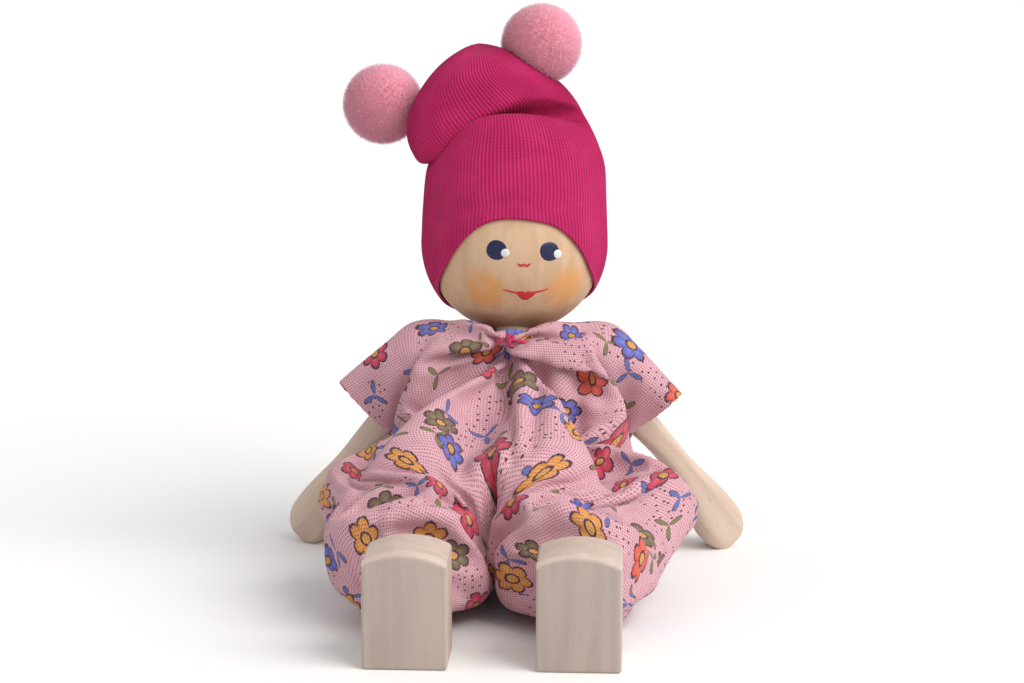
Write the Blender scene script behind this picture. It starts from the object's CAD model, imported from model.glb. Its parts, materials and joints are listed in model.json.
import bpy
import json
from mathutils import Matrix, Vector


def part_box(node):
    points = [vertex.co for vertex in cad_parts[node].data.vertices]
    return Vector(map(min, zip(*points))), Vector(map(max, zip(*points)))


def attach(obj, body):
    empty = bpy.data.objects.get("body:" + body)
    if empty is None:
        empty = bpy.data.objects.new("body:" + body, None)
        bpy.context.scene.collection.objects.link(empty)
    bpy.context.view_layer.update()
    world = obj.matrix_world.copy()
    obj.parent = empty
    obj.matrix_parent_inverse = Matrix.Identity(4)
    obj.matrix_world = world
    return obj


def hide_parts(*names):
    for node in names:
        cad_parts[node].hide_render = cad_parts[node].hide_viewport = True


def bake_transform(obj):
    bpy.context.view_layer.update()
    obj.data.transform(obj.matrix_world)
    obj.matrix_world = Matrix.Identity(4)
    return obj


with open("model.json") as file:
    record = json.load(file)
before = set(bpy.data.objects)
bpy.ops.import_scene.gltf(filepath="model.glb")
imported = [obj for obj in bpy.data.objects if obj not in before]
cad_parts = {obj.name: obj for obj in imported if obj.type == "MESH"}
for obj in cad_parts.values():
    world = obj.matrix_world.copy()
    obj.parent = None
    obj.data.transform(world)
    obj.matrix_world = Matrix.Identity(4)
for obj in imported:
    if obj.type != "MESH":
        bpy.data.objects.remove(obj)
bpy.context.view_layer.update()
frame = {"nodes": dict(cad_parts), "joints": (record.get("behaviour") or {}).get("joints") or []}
import json
import math

import bmesh
import bpy
import numpy as np
from mathutils import Matrix, Quaternion, Vector
from mathutils.bvhtree import BVHTree
from mathutils.geometry import delaunay_2d_cdt

# A seated wooden miniature doll in a printed romper and a knit hat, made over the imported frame.
# Metres, +Z up, the doll faces -Y and its own left is +X.
nodes = frame["nodes"]
joints = {joint["name"]: joint for joint in frame["joints"]}
mm = 0.001
sides = {"left": 1, "right": -1}


def boxCentre(name):
    low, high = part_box(name)
    return (Vector(low) + Vector(high)) / 2


def placed(name, data):
    thing = bpy.data.objects.new(name, data)
    bpy.context.scene.collection.objects.link(thing)
    return thing


headCentre = boxCentre("head_ball")
headRadius = (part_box("head_ball")[1][0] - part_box("head_ball")[0][0]) / 2
spineUp = Vector(joints["neck_turn"]["axis"]).normalized()
spineBack = Vector((0, spineUp.z, -spineUp.y))


# Camera at the photo's angle, soft studio light and a pale floor
shot = {
    "azimuth": 3.0, "elevation": 11.0, "distance": 0.365, "focalPixels": 2607.0,
    "frame": (1024, 683), "headAt": (514.5, 242.5),
    "keyFrom": (0.655, -0.36, 0.66), "keyPower": 2.5, "keySpread": 50, "skyStrength": 0.6,
    "keyColour": (1.0, 0.985, 0.96), "paper": 0.93, "paperGlow": 0.8, "floorReach": 4, "sensor": 36,
}


def viewAxes():
    azimuth, elevation = math.radians(shot["azimuth"]), math.radians(shot["elevation"])
    right = Vector((math.cos(azimuth), math.sin(azimuth), 0))
    level = math.cos(elevation)
    back = Vector((math.sin(azimuth) * level, -math.cos(azimuth) * level, math.sin(elevation)))
    return right, back.cross(right), back


viewRight, viewUp, viewBack = viewAxes()


def placeCamera():
    width, height = shot["frame"]
    perPixel = shot["distance"] / shot["focalPixels"]
    across = (shot["headAt"][0] - width / 2) * perPixel
    above = (height / 2 - shot["headAt"][1]) * perPixel
    camera = placed("camera", bpy.data.cameras.new("camera"))
    camera.data.sensor_width = shot["sensor"]
    camera.data.lens = shot["focalPixels"] * shot["sensor"] / width
    camera.data.clip_start = 0.01
    place = headCentre + viewBack * shot["distance"] - viewRight * across - viewUp * above
    turn = Matrix((viewRight, viewUp, viewBack)).transposed().to_4x4()
    camera.matrix_world = Matrix.Translation(place) @ turn
    bpy.context.scene.camera = camera


def softKey():
    # One broad light from the picture's upper right.
    light = placed("key", bpy.data.lights.new("key", "SUN"))
    light.data.energy = shot["keyPower"]
    light.data.angle = math.radians(shot["keySpread"])
    light.data.color = shot["keyColour"]
    light.rotation_euler = (-Vector(shot["keyFrom"])).to_track_quat("-Z", "Y").to_euler()


def setStage():
    placeCamera()
    softKey()
    world = bpy.data.worlds.new("studio")
    world.use_nodes = True
    sky = world.node_tree.nodes["Background"]
    feed(world.node_tree, sky, {"Color": (1, 1, 1, 1), "Strength": shot["skyStrength"]})
    bpy.context.scene.world = world
    bpy.context.scene.view_settings.view_transform = "Standard"
    # the paper looks white but throws little light back up, as in the photo
    paper, tree, shader = newMaterial("palePaper")
    seen = addNode(tree, "ShaderNodeLightPath").outputs["Is Camera Ray"]
    glow = addNode(tree, "ShaderNodeMapRange", {"Value": seen, "To Min": shot["paperGlow"], "To Max": shot["paper"]})
    feed(tree, shader, {"Base Color": glow.outputs["Result"], "Roughness": 0.9})
    reach = shot["floorReach"]
    corners = [(-reach, -reach, 0), (reach, -reach, 0), (reach, reach, 0), (-reach, reach, 0)]
    sweep = bpy.data.meshes.new("floor")
    sweep.from_pydata(corners, [], [(0, 1, 2, 3)])
    sweep.materials.append(paper)
    placed("floor", sweep)


# Small tools for meshes
def meshPiece(name, verts, faces, material):
    mesh = bpy.data.meshes.new(name)
    mesh.from_pydata([tuple(v) for v in verts], [], faces)
    mesh.validate()
    mesh.update()
    mesh.shade_smooth()
    mesh.materials.append(material)
    return placed(name, mesh)


def meshFrom(shape, name):
    mesh = bpy.data.meshes.new(name)
    shape.to_mesh(mesh)
    shape.free()
    return mesh


def finished(piece, body, node):
    # The piece moves with a body, stands for a node of the frame and wears its material.
    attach(piece, body)
    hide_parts(node)


def outward(piece):
    shape = bmesh.new()
    shape.from_mesh(piece.data)
    bmesh.ops.remove_doubles(shape, verts=shape.verts, dist=1e-7)
    bmesh.ops.recalc_face_normals(shape, faces=shape.faces)
    shape.to_mesh(piece.data)
    shape.free()
    piece.data.shade_smooth()


def ringFaces(rows, columns, closed=True):
    # Quads between rows of points that go round, with the first row's points first.
    faces = []
    for row in range(rows - 1):
        low, high = row * columns, (row + 1) * columns
        for k in range(columns if closed else columns - 1):
            after = (k + 1) % columns
            faces.append((low + k, low + after, high + after, high + k))
    return faces


def settle(piece):
    # Live modifiers become the plain mesh.
    graph = bpy.context.evaluated_depsgraph_get()
    made = bpy.data.meshes.new_from_object(piece.evaluated_get(graph))
    piece.modifiers.clear()
    old = piece.data
    piece.data = made
    bpy.data.meshes.remove(old)
    piece.data.name = piece.name


def smoothStep(low, high, value):
    t = np.clip((value - low) / (high - low), 0, 1)
    return t * t * (3 - 2 * t)


def squaredCircle(turn, power):
    # A point of a circle that is swollen towards a square
    c, s = math.cos(turn), math.sin(turn)
    size = (abs(c) ** power + abs(s) ** power) ** (-1 / power)
    return c * size, s * size


def readArray(rows, label, wide=1, kind=np.float32):
    # What Blender keeps for each point, corner or edge
    values = np.zeros(len(rows) * wide, kind)
    rows.foreach_get(label, values)
    return values.reshape(-1, wide) if wide > 1 else values


def readPoints(mesh):
    return readArray(mesh.vertices, "co", 3).astype(float)


# Material tools
def newMaterial(name):
    material = bpy.data.materials.new(name)
    material.use_nodes = True
    tree = material.node_tree
    return material, tree, tree.nodes["Principled BSDF"]


def feed(tree, node, inputs):
    for key, value in inputs.items():
        if isinstance(value, bpy.types.NodeSocket):
            tree.links.new(value, node.inputs[key])
        else:
            node.inputs[key].default_value = value
    return node


def addNode(tree, kind, inputs=None, **settings):
    node = tree.nodes.new(kind)
    for key, value in settings.items():
        setattr(node, key, value)
    return feed(tree, node, inputs or {})


def objectPlace(tree):
    return addNode(tree, "ShaderNodeTexCoord").outputs["Object"]


def noise(tree, vector, scale, detail=2.0, more=None, **settings):
    inputs = {"Vector": vector, "Scale": scale, "Detail": detail, **(more or {})}
    return addNode(tree, "ShaderNodeTexNoise", inputs, **settings).outputs["Fac"]


def vectorCalc(tree, operation, *values):
    node = addNode(tree, "ShaderNodeVectorMath", dict(enumerate(values)), operation=operation)
    return node.outputs["Value" if operation in ("DISTANCE", "LENGTH") else "Vector"]


def splitAxes(tree, vector):
    return addNode(tree, "ShaderNodeSeparateXYZ", {"Vector": vector}).outputs


def calc(tree, operation, first, second=0.0, third=0.0, clamp=False):
    inputs = {0: first, 1: second, 2: third}
    return addNode(tree, "ShaderNodeMath", inputs, operation=operation, use_clamp=clamp).outputs[0]


def times(tree, first, second):
    return calc(tree, "MULTIPLY", first, second)


def timesPlus(tree, value, factor, addend):
    return calc(tree, "MULTIPLY_ADD", value, factor, addend)


def mixColour(tree, amount, first, second, blend="MIX"):
    first, second = ((*c, 1) if isinstance(c, tuple) and len(c) == 3 else c for c in (first, second))
    inputs = {0: amount, 6: first, 7: second}
    return addNode(tree, "ShaderNodeMix", inputs, data_type="RGBA", blend_type=blend).outputs[2]


def ramp(tree, value, low, high):
    inputs = {"Value": value, "From Min": low, "From Max": high}
    return addNode(tree, "ShaderNodeMapRange", inputs, interpolation_type="SMOOTHSTEP").outputs["Result"]


def newGroup(name, inputs, outputs):
    group = bpy.data.node_groups.new(name, "ShaderNodeTree")
    for label, kind, value in inputs:
        socket = group.interface.new_socket(label, in_out="INPUT", socket_type=kind)
        if value is not None:
            socket.default_value = value
    for label, kind in outputs:
        group.interface.new_socket(label, in_out="OUTPUT", socket_type=kind)
    return group, group.nodes.new("NodeGroupInput"), group.nodes.new("NodeGroupOutput")


def useGroup(tree, group, inputs):
    return addNode(tree, "ShaderNodeGroup", inputs, node_tree=group).outputs


def bumpFrom(tree, shader, height, strength, distance):
    bump = addNode(tree, "ShaderNodeBump", {"Height": height, "Strength": strength, "Distance": distance})
    feed(tree, shader, {"Normal": bump.outputs["Normal"]})


setStage()
print("stage set")


# Beech: faint streaks along the grain, fine fibres and short ray flecks
beech = {
    "pale": (0.70, 0.545, 0.435), "deep": (0.60, 0.455, 0.355), "fleck": (0.42, 0.29, 0.20),
    "streakScale": (420.0, 420.0, 26.0), "fibreScale": (5200.0, 5200.0, 300.0),
    "fleckScale": (2600.0, 2600.0, 520.0),
    "flecks": 0.35, "roughness": 0.62, "bump": 0.25, "relief": 0.00006,
}


def beechGroup():
    group, entry, leave = newGroup(
        "beechGrain",
        [("Vector", "NodeSocketVector", None), ("Pale", "NodeSocketColor", (*beech["pale"], 1)),
         ("Deep", "NodeSocketColor", (*beech["deep"], 1)), ("Flecks", "NodeSocketFloat", beech["flecks"])],
        [("Color", "NodeSocketColor"), ("Roughness", "NodeSocketFloat"), ("Height", "NodeSocketFloat")],
    )
    pale, deep = entry.outputs["Pale"], entry.outputs["Deep"]
    drawn = {kind: vectorCalc(group, "MULTIPLY", entry.outputs["Vector"], beech[kind + "Scale"])
             for kind in ("streak", "fibre", "fleck")}
    streak = noise(group, drawn["streak"], 1.0, 3.0, {"Roughness": 0.55, "Distortion": 0.6})
    fibre = noise(group, drawn["fibre"], 1.0, 2.0, {"Roughness": 0.6})
    cells = addNode(group, "ShaderNodeTexVoronoi", {"Vector": drawn["fleck"], "Scale": 1.0}, feature="F1")
    colour = mixColour(group, ramp(group, streak, 0.36, 0.66), pale, deep)
    colour = mixColour(group, times(group, ramp(group, fibre, 0.42, 0.72), 0.28), colour, deep)
    dash = times(group, ramp(group, cells.outputs["Distance"], 0.24, 0.12), entry.outputs["Flecks"])
    feed(group, leave, {
        "Color": mixColour(group, dash, colour, beech["fleck"]),
        "Roughness": timesPlus(group, fibre, 0.18, beech["roughness"] - 0.09),
        "Height": timesPlus(group, fibre, 0.6, times(group, dash, -0.5)),
    })
    return group


beechTree = beechGroup()


def beechMaterial(name, grain, flecks=beech["flecks"], pale=beech["pale"], deep=beech["deep"], sole=None):
    # grain is the direction of the wood's fibres; sole is the level and tint of a sawn face in front
    material, tree, shader = newMaterial(name)
    place = objectPlace(tree)
    turn = Vector(grain).normalized().rotation_difference(Vector((0, 0, 1))).to_euler()
    along = addNode(tree, "ShaderNodeMapping", {"Vector": place, "Rotation": turn}).outputs[0]
    wood = useGroup(tree, beechTree, {"Vector": along, "Flecks": flecks, "Pale": (*pale, 1), "Deep": (*deep, 1)})
    colour = wood["Color"]
    if sole:
        level, tint = sole
        onSole = ramp(tree, splitAxes(tree, place)["Y"], level + 0.3 * mm, level + 0.1 * mm)
        colour = mixColour(tree, onSole, colour, tint, "MULTIPLY")
    feed(tree, shader, {"Base Color": colour, "Roughness": wood["Roughness"]})
    bumpFrom(tree, shader, wood["Height"], beech["bump"], beech["relief"])
    return material, tree, shader, colour


# Pins: plain drawn steel
def steelMaterial():
    material, tree, shader = newMaterial("drawnSteel")
    scratch = noise(tree, objectPlace(tree), 3000.0)
    feed(tree, shader, {
        "Base Color": mixColour(tree, scratch, (0.50, 0.50, 0.50), (0.66, 0.66, 0.65)),
        "Roughness": timesPlus(tree, scratch, 0.2, 0.28), "Metallic": 1.0,
    })
    return material


steel = steelMaterial()
upright = beechMaterial("beechUpright", spineUp)[0]
alongLegs = beechMaterial("beechLegs", (0, 1, 0))[0]
for name, node in nodes.items():
    finish = steel if "_pin_" in name else alongLegs if name.startswith(("leg_", "foot_peg_")) else upright
    node.data.materials.clear()
    node.data.materials.append(finish)
print("wood and steel on the carried-over nodes")


# Head: a turned ball with a painted face
face = {
    "cheeks": ((484, 291), (566, 288)), "cheekReach": 0.0042, "cheekRagged": 0.0022,
    "cheekColour": (0.72, 0.335, 0.105), "cheekStrength": 0.9, "rows": 72, "columns": 120,
    "pale": (0.665, 0.452, 0.285), "deep": (0.58, 0.376, 0.228),
    "navy": (0.006, 0.008, 0.066), "white": (0.85, 0.86, 0.88), "red": (0.64, 0.033, 0.034),
    "paint": 0.00007,
}


def onBall(px, py, lift=0.0):
    # The point of the ball that the camera sees at a pixel
    eye = bpy.context.scene.camera.matrix_world.translation
    width, height = shot["frame"]
    ray = viewRight * (px - width / 2) + viewUp * (height / 2 - py) - viewBack * shot["focalPixels"]
    ray.normalize()
    nearest = eye + ray * (headCentre - eye).dot(ray)
    depth = math.sqrt(max(headRadius ** 2 - (nearest - headCentre).length_squared, 0))
    return headCentre + (nearest - ray * depth - headCentre).normalized() * (headRadius + lift)


def paintMaterial(name, colour, roughness):
    material, tree, shader = newMaterial(name)
    brush = noise(tree, objectPlace(tree), 1800.0)
    feed(tree, shader, {"Base Color": mixColour(tree, brush, tuple(c * 0.72 for c in colour), colour),
                        "Roughness": timesPlus(tree, brush, 0.15, roughness)})
    return material


def coatOfPaint(name, verts, faces, material):
    piece = meshPiece(name, verts, faces, material)
    outward(piece)
    if sum(f.normal.dot(f.center - headCentre) for f in piece.data.polygons) < 0:
        piece.data.flip_normals()
    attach(piece, "head")


def paintPatch(name, outline, material, lift):
    # A thin domed coat of paint inside an outline given in pixels; its rim dips into the wood.
    centre = np.mean(outline, axis=0)
    count = len(outline)
    domes = ((0.35, 1.0), (0.65, 0.95), (0.86, 0.7), (0.97, 0.3), (1.0, -0.6))
    spokes = np.array(outline) - centre
    verts = [onBall(*spot, lift * rise) for share, rise in domes for spot in centre + spokes * share]
    faces = ringFaces(len(domes), count) + [(len(verts), (k + 1) % count, k) for k in range(count)]
    coatOfPaint(name, verts + [onBall(*centre, lift)], faces, material)


def ovalOutline(cx, cy, rx, ry, count=36, power=2.0, lean=0.0):
    points = []
    for k in range(count):
        x, y = squaredCircle(2 * math.pi * k / count, power)
        x, y = x * rx, y * ry
        points.append((cx + x * math.cos(lean) - y * math.sin(lean), cy + x * math.sin(lean) + y * math.cos(lean)))
    return points


def strokePatch(name, path, widths, material, lift):
    # A brush stroke along a path of pixels, lower at its edges
    path = np.array(path, float)
    along = np.gradient(path, axis=0)
    along /= np.linalg.norm(along, axis=1)[:, None]
    across = np.stack([-along[:, 1], along[:, 0]], 1) * np.array(widths)[:, None] / 2
    domes = ((1.06, -0.8), (0.9, 0.6), (0.45, 1.0), (0.0, 1.0), (-0.45, 1.0), (-0.9, 0.6), (-1.06, -0.8))
    verts = [onBall(*spot, lift * rise) for share, rise in domes for spot in path + across * share]
    coatOfPaint(name, verts, ringFaces(len(domes), len(path), closed=False), material)


def makeHead():
    rows, columns = face["rows"], face["columns"]
    sideways = spineUp.cross(spineBack)
    verts = []
    for row in range(rows + 1):
        tilt = math.pi * row / rows
        for k in range(columns):
            turn = 2 * math.pi * k / columns
            level = sideways * math.cos(turn) + spineBack * math.sin(turn)
            verts.append(headCentre + (level * math.sin(tilt) + spineUp * math.cos(tilt)) * headRadius)
    material, tree, shader, colour = beechMaterial("faceBeech", (0.05, 0.0, 1.0), 0.3, face["pale"], face["deep"])
    place = objectPlace(tree)
    smudge = noise(tree, place, 420.0, 4.0)
    reach, ragged = face["cheekReach"], face["cheekRagged"]
    blush = []
    for spot in face["cheeks"]:
        away = vectorCalc(tree, "DISTANCE", place, tuple(onBall(*spot)))
        away = timesPlus(tree, smudge, ragged, calc(tree, "SUBTRACT", away, ragged / 2))
        blush.append(ramp(tree, away, reach * 0.98, reach * 0.45))
    mottled = times(tree, calc(tree, "MAXIMUM", *blush), ramp(tree, smudge, 0.1, 0.62))
    amount = times(tree, mottled, face["cheekStrength"])
    feed(tree, shader, {"Base Color": mixColour(tree, amount, colour, face["cheekColour"])})
    ball = meshPiece("headBall", verts, ringFaces(rows + 1, columns), material)
    outward(ball)
    finished(ball, "head", "head_ball")


def makeFace():
    navy = paintMaterial("eyePaint", face["navy"], 0.34)
    white = paintMaterial("glintPaint", face["white"], 0.3)
    red = paintMaterial("lipPaint", face["red"], 0.35)
    coat = face["paint"]
    paintPatch("eyeRight", ovalOutline(496.5, 250, 10.2, 10.0, lean=0.3, power=2.2), navy, coat)
    paintPatch("eyeLeft", ovalOutline(549.5, 251.5, 9.6, 9.6, lean=-0.2, power=2.2), navy, coat)
    paintPatch("glintRight", ovalOutline(505, 253, 4.4, 4.4, 24), white, coat * 2.2)
    paintPatch("glintLeft", ovalOutline(557.5, 254, 4.2, 4.6, 24), white, coat * 2.2)
    nose = [(517.5, 263.6), (519.8, 265.4), (522.2, 265.6), (523.8, 264.4), (525.4, 265.6), (528, 265.6),
            (530.5, 263.6)]
    strokePatch("nosePaint", nose, [1.2, 2.6, 3.0, 2.4, 3.0, 2.8, 1.2], red, coat)
    smile = [(503, 289.5), (508, 290.6), (513, 292.0), (519, 293.0), (525, 293.2), (531, 292.6), (537, 291.8),
             (543, 290.4), (548, 288.4)]
    strokePatch("smilePaint", smile, [1.0, 1.5, 1.9, 2.2, 2.4, 2.2, 1.9, 1.4, 0.9], red, coat)
    lips = [(515, 292.5), (519, 291.0), (522.5, 290.8), (525.5, 292.2), (528.5, 290.8), (532, 291.2), (537, 292.3),
            (533, 296.2), (528, 299.6), (524, 300.3), (520, 298.2)]
    paintPatch("lipsPaint", lips, red, coat * 1.3)


makeHead()
makeFace()
print("head and face painted")


# Arms: cut from board and sanded soft, with a thin wrist and a mitten hand
armShape = {
    "length": 35.8, "thickness": 4.6, "width": 6.2, "bow": 1.5, "wristAt": 20.5, "wrist": 3.6, "hand": 6.8,
    "handLength": 9.0, "handFrom": 28, "rows": 90, "endRows": 14, "around": 48, "square": 4.2,
}


def throughKeys(keys, at):
    # A smooth size at a place between keys of (place, size)
    places, sizes = (np.array(column) for column in zip(*keys))
    slope = np.gradient(sizes, places)
    i = int(np.clip(np.searchsorted(places, at) - 1, 0, len(places) - 2))
    span = places[i + 1] - places[i]
    t = (at - places[i]) / span
    return ((2 * t ** 3 - 3 * t ** 2 + 1) * sizes[i] + (t ** 3 - 2 * t ** 2 + t) * span * slope[i]
            + (-2 * t ** 3 + 3 * t ** 2) * sizes[i + 1] + (t ** 3 - t ** 2) * span * slope[i + 1])


def makeArm(word, side):
    joint, s = joints["shoulder_" + word], armShape
    pivot = Vector(joint["pos_m"])
    out = Vector(joint["axis"]).normalized() * (-side)
    # the tip lies off the middle line, so the line is taken through the hand's two edges
    reach = [v.co - pivot for v in nodes["arm_" + word].data.vertices]
    far = [p for p in reach if p.length > s["handFrom"] * mm]
    down = sum((p - out * p.dot(out) for p in far), Vector()).normalized()
    back = out.cross(down)
    eye, last, ends = s["width"] / 2, s["length"] - s["handLength"] / 2, s["endRows"]
    keys = [(-eye, s["thickness"]), (0, s["thickness"]), (s["wristAt"] / 2, s["thickness"] * 0.92),
            (s["wristAt"], s["wrist"]), (last - s["handLength"] * 0.15, s["hand"] * 0.94),
            (last + s["handLength"] * 0.1, s["hand"]), (s["length"], s["hand"])]
    stations = [-eye * math.cos(math.pi / 2 * k / ends) for k in range(ends)]
    stations += [last * k / s["rows"] for k in range(s["rows"] + 1)]
    stations += [last + (s["length"] - last) * math.sin(math.pi / 2 * k / ends) for k in range(1, ends + 1)]
    verts = []
    for along in stations:
        thick, wide = throughKeys(keys, along) / 2, eye
        if along < 0:
            wide = max(math.sqrt(max(eye * eye - along * along, 0)), 0.02)
        if along > last:
            left = max(1 - ((along - last) / (s["length"] - last)) ** 2, 0.0004)
            thick *= left ** 0.36
            wide *= left ** 0.22
        bow = s["bow"] * math.sin(math.pi * max(along, 0) / s["length"])
        for k in range(s["around"]):
            x, y = squaredCircle(2 * math.pi * k / s["around"], s["square"])
            verts.append(pivot + (down * along + out * (bow + x * thick) + back * (y * wide)) * mm)
    ends = [list(range(s["around"]))[::-1], [len(verts) - s["around"] + k for k in range(s["around"])]]
    material = beechMaterial("beechArm_" + word, down, 0.3)[0]
    arm = meshPiece("woodArm_" + word, verts, ringFaces(len(stations), s["around"]) + ends, material)
    outward(arm)
    finished(arm, "arm_" + word, "arm_" + word)
    return down


# Feet: blocks with an arched toe, a chamfer along the toe and softened corners
footShape = {
    "toeRise": 1.3, "round": 0.5, "roundSteps": 4, "crisp": 0.2, "chamfer": 0.75, "arcSteps": 28,
    "sharpAngle": 28, "shadeAngle": 30,
    "pale": (0.63, 0.51, 0.435), "deep": (0.565, 0.45, 0.385), "soleShade": (0.77, 0.775, 0.785), "flecks": 0.2,
}


def makeFoot(word, side):
    low, high = (Vector(v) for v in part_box("foot_" + word))
    half, top = (high.x - low.x) / 2, high.z - low.z
    rise = footShape["toeRise"] * mm
    radius = (half * half + rise * rise) / (2 * rise)
    spread = math.asin(half / radius)
    steps = footShape["arcSteps"]
    turns = [spread * (1 - 2 * k / steps) for k in range(steps + 1)]
    outline = [(radius * math.sin(turn), top - radius + radius * math.cos(turn)) for turn in turns]
    outline += [(-half, 0.0), (half, 0.0)]
    middle = (low.x + high.x) / 2
    shape = bmesh.new()
    rings = []
    for y in (low.y, high.y):
        rings.append([shape.verts.new((middle + x, y, low.z + z)) for x, z in outline])
    count = len(outline)
    for k in range(count):
        shape.faces.new((rings[0][k], rings[0][(k + 1) % count], rings[1][(k + 1) % count], rings[1][k]))
    shape.faces.new(rings[0])
    shape.faces.new(rings[1])
    bmesh.ops.recalc_face_normals(shape, faces=shape.faces)
    toe = [e for e in shape.edges if all(v in rings[0][:steps + 1] for v in e.verts)]
    bmesh.ops.bevel(shape, geom=toe, offset=footShape["chamfer"] * mm, segments=1, profile=0.5, affect="EDGES")
    # the chamfer's two lines stay crisp, the other edges are sanded round
    weight = shape.edges.layers.float.new("bevel_weight_edge")
    nearToe = low.y + footShape["chamfer"] * mm * 1.05
    for edge in shape.edges:
        if edge.calc_face_angle(0) > math.radians(footShape["sharpAngle"]):
            onToe = all(v.co.y < nearToe and v.co.z > low.z + top - rise * 2.2 for v in edge.verts)
            edge[weight] = footShape["crisp"] if onToe else 1.0
    foot = placed("woodFoot_" + word, meshFrom(shape, "woodFoot_" + word))
    soften = foot.modifiers.new("soften", "BEVEL")
    soften.width = footShape["round"] * mm
    soften.segments = footShape["roundSteps"]
    soften.limit_method = "WEIGHT"
    soften.use_clamp_overlap = True
    settle(foot)
    foot.data.shade_smooth()
    foot.data.set_sharp_from_angle(angle=math.radians(footShape["shadeAngle"]))
    grain = (0.03 * side, 0.05, 1)
    looks = (footShape[label] for label in ("flecks", "pale", "deep"))
    material = beechMaterial("beechFoot_" + word, grain, *looks, sole=(low.y, footShape["soleShade"]))[0]
    foot.data.materials.clear()
    foot.data.materials.append(material)
    finished(foot, "leg_" + word, "foot_" + word)


armAlong = {}
for word, side in sides.items():
    armAlong[word] = makeArm(word, side)
    makeFoot(word, side)
print("arms and feet shaped")


# Hat: a ribbed knit tube, snug on the ball, folded over at the crown and flopped to the doll's right
# Each row of the crown is drawn through four points: doll's right, front, doll's left, back.
# A point is two pixels of the camera's picture and millimetres towards the camera from the ball's middle.
hat = {
    "radius": 13.05, "ribs": 144, "perRib": 4, "ribDepth": 0.11, "bandRows": 34, "rowsPerKey": 8,
    "brim": [(-180, -53), (-120, -48), (-90, -40), (-70, -29), (-52, -18.4), (-42, -9.2), (-32, 1), (-21, 9.2),
             (-8, 12.5), (0, 12.4), (12, 11.4), (26, 8.4), (37, 1), (48, -9.2), (57.6, -18.4), (72, -26),
             (90, -31), (120, -42), (180, -53)],
    "bandTop": [(-180, -6), (-90, 2), (-45, 14), (0, 24), (45, 14), (90, 2), (180, -6)],
    "rows": [
        ((423, 205, 0), (514, 190, 11.6), (606.5, 200, 0), (515, 190, -11.6)),
        ((427, 168, 0), (513, 160, 9.9), (605, 166, 0), (517, 150, -10)),
        ((438, 146, 0), (512, 134, 8.7), (598, 143, 0), (520, 126, -8.6)),
        ((452, 129.5, 1.0), (509, 115.5, 6.4), (590, 126, 0), (522, 106, -7.4)),
        ((461, 131, 2.2), (506, 119, 3.2), (584, 117, 0), (522, 96, -7)),
        ((436, 160, 2.6), (508, 116, 3.4), (580, 109, 0), (516, 89, -7)),
        ((418, 160, 1.6), (506, 108, 5.9), (576, 102, 0), (508, 80, -7.4)),
        ((407, 137, 0.6), (494, 95, 6.3), (569, 94, -0.5), (500, 69, -7.6)),
        ((411, 108, 0), (480, 78, 6.7), (558, 83, -1), (490, 60, -7)),
        ((424, 84, -0.5), (477, 61, 5.4), (543, 69, -1), (486, 53, -6)),
        ((441, 64, -1), (477, 50, 3.2), (520, 55, -1), (482, 48.5, -4.5)),
        ((461, 50, -1), (478, 44.5, 0.9), (500, 47, -1), (480, 45.5, -2.6)),
        ((478, 43.2, -0.9), (479, 43, -0.7), (480, 43.2, -0.9), (479, 43.2, -1.1)),
    ],
    # valleys pressed into the front: path, width in pixels, depth in millimetres
    "creases": [([(472, 88), (492, 91), (520, 96), (548, 103), (572, 112)], 7.0, 1.25),
                ([(447, 137), (453, 128), (461, 122)], 7.0, 1.3), ([(420, 160), (432, 141), (446, 120)], 9.0, 0.35)],
    "lit": (0.62, 0.020, 0.150), "deep": (0.20, 0.003, 0.034), "worn": (0.74, 0.05, 0.22), "stitch": 0.46,
    "sheen": (0.95, 0.25, 0.5, 1), "softSpan": 31, "easeRows": 9,
}


def pictured(px, py, depth):
    perPixel = shot["distance"] / shot["focalPixels"]
    x, z = (px - shot["headAt"][0]) * perPixel, (shot["headAt"][1] - py) * perPixel
    # nearer points look larger, so they sit closer to the picture's middle line
    near = (shot["distance"] - depth * mm) / shot["distance"]
    return headCentre + viewRight * x * near + viewUp * z * near + viewBack * depth * mm


def throughPoints(values, steps):
    # A smooth run through the rows of an array (Catmull-Rom).
    values = np.array(values, float)
    padded = np.concatenate([values[:1] * 2 - values[1:2], values, values[-1:] * 2 - values[-2:-1]])
    made = []
    for i in range(len(values) - 1):
        a, b, c, d = padded[i:i + 4]
        for k in range(steps):
            t = k / steps
            curve = (2 * a - 5 * b + 4 * c - d) * t * t + (3 * b - a - 3 * c + d) * t ** 3
            made.append(0.5 * (2 * b + (c - a) * t + curve))
    made.append(values[-1])
    return np.array(made)


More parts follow.
